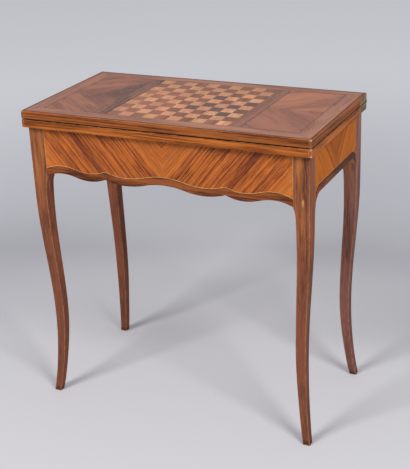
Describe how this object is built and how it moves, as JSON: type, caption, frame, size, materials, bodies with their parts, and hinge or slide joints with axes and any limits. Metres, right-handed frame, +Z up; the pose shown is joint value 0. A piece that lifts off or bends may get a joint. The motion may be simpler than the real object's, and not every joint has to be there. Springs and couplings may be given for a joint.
{
  "type": "games table",
  "caption": "Small card and games table on slender curved legs, with a folding chequered top that swivels to rest open on the frame above a lined well.",
  "frame": {"origin": "on the floor under the middle of the closed top", "axes": "+X along the top to the right, +Y to the back where the leaves are hinged, +Z up"},
  "size_m": [0.706, 0.376, 0.74],
  "materials": {
    "leg_wood": "waxed red-brown hardwood, worn on the arrises",
    "apron_veneer": "polished orange-brown figured veneer with dark stripes",
    "frame_wood": "plain softwood, unpolished",
    "stringing_wood": "pale line inlay, polished",
    "bead_wood": "polished brown moulding",
    "lipping_wood": "polished solid edge strips",
    "core_wood": "plain board under the veneer",
    "band_veneer": "polished red-brown veneer, faded",
    "panel_veneer": "polished figured veneer, faded, with a dark streak",
    "light_square_veneer": "polished pale veneer",
    "dark_square_veneer": "polished dark veneer, faded",
    "baize": "green woollen cloth, worn",
    "brass": "aged brass, dull",
    "iron": "dark wrought iron",
    "peg_wood": "turned hardwood pegs"
  },
  "bodies": {
    "base": {"leg_front_left": "leg_wood", "leg_front_right": "leg_wood", "leg_back_left": "leg_wood", "leg_back_right": "leg_wood", "front_veneer": "apron_veneer", "back_veneer": "apron_veneer", "left_veneer": "apron_veneer", "right_veneer": "apron_veneer", "front_rail": "frame_wood", "back_rail": "frame_wood", "left_rail": "frame_wood", "right_rail": "frame_wood", "pivot_rail": "frame_wood", "pivot_rail_blocks": "frame_wood", "well_bottom": "frame_wood", "well_bearers": "frame_wood", "well_partition": "frame_wood", "front_stringing": "stringing_wood", "back_stringing": "stringing_wood", "left_stringing": "stringing_wood", "right_stringing": "stringing_wood", "front_bead": "bead_wood", "back_bead": "bead_wood", "left_bead": "bead_wood", "right_bead": "bead_wood", "well_lining": "baize", "pivot_bush": "brass"},
    "lower_leaf": {"lower_leaf_core": "core_wood", "lower_front_lipping": "lipping_wood", "lower_back_lipping": "lipping_wood", "lower_end_lippings": "lipping_wood", "lower_inner_banding": "band_veneer", "lower_baize": "baize", "pivot_plate": "iron", "pivot_spindle": "iron", "pivot_washer": "iron", "pivot_nut": "iron", "pivot_plate_screws": "iron", "stop_pegs": "peg_wood", "left_hinge_lower_plate": "brass", "right_hinge_lower_plate": "brass", "lower_hinge_screws": "brass", "hinge_pins": "brass"},
    "upper_leaf": {"upper_leaf_core": "core_wood", "upper_front_lipping": "lipping_wood", "upper_back_lipping": "lipping_wood", "upper_end_lippings": "lipping_wood", "upper_inner_banding": "band_veneer", "upper_baize": "baize", "top_banding": "band_veneer", "top_dividers": "band_veneer", "top_panel_left": "panel_veneer", "top_panel_right": "panel_veneer", "light_squares": "light_square_veneer", "dark_squares": "dark_square_veneer", "left_hinge_upper_plate": "brass", "right_hinge_upper_plate": "brass", "upper_hinge_screws": "brass"}
  },
  "joints": [
    {"name": "top_swivel", "type": "hinge", "parent": "base", "child": "lower_leaf", "pos_m": [0.09225, 0.09225, 0.7005], "axis": [0, 0, 1], "range_deg": [0, 90]},
    {"name": "leaf_fold", "type": "hinge", "parent": "lower_leaf", "child": "upper_leaf", "pos_m": [0, 0.1845, 0.7204], "axis": [-1, 0, 0], "range_deg": [0, 180]}
  ]
}
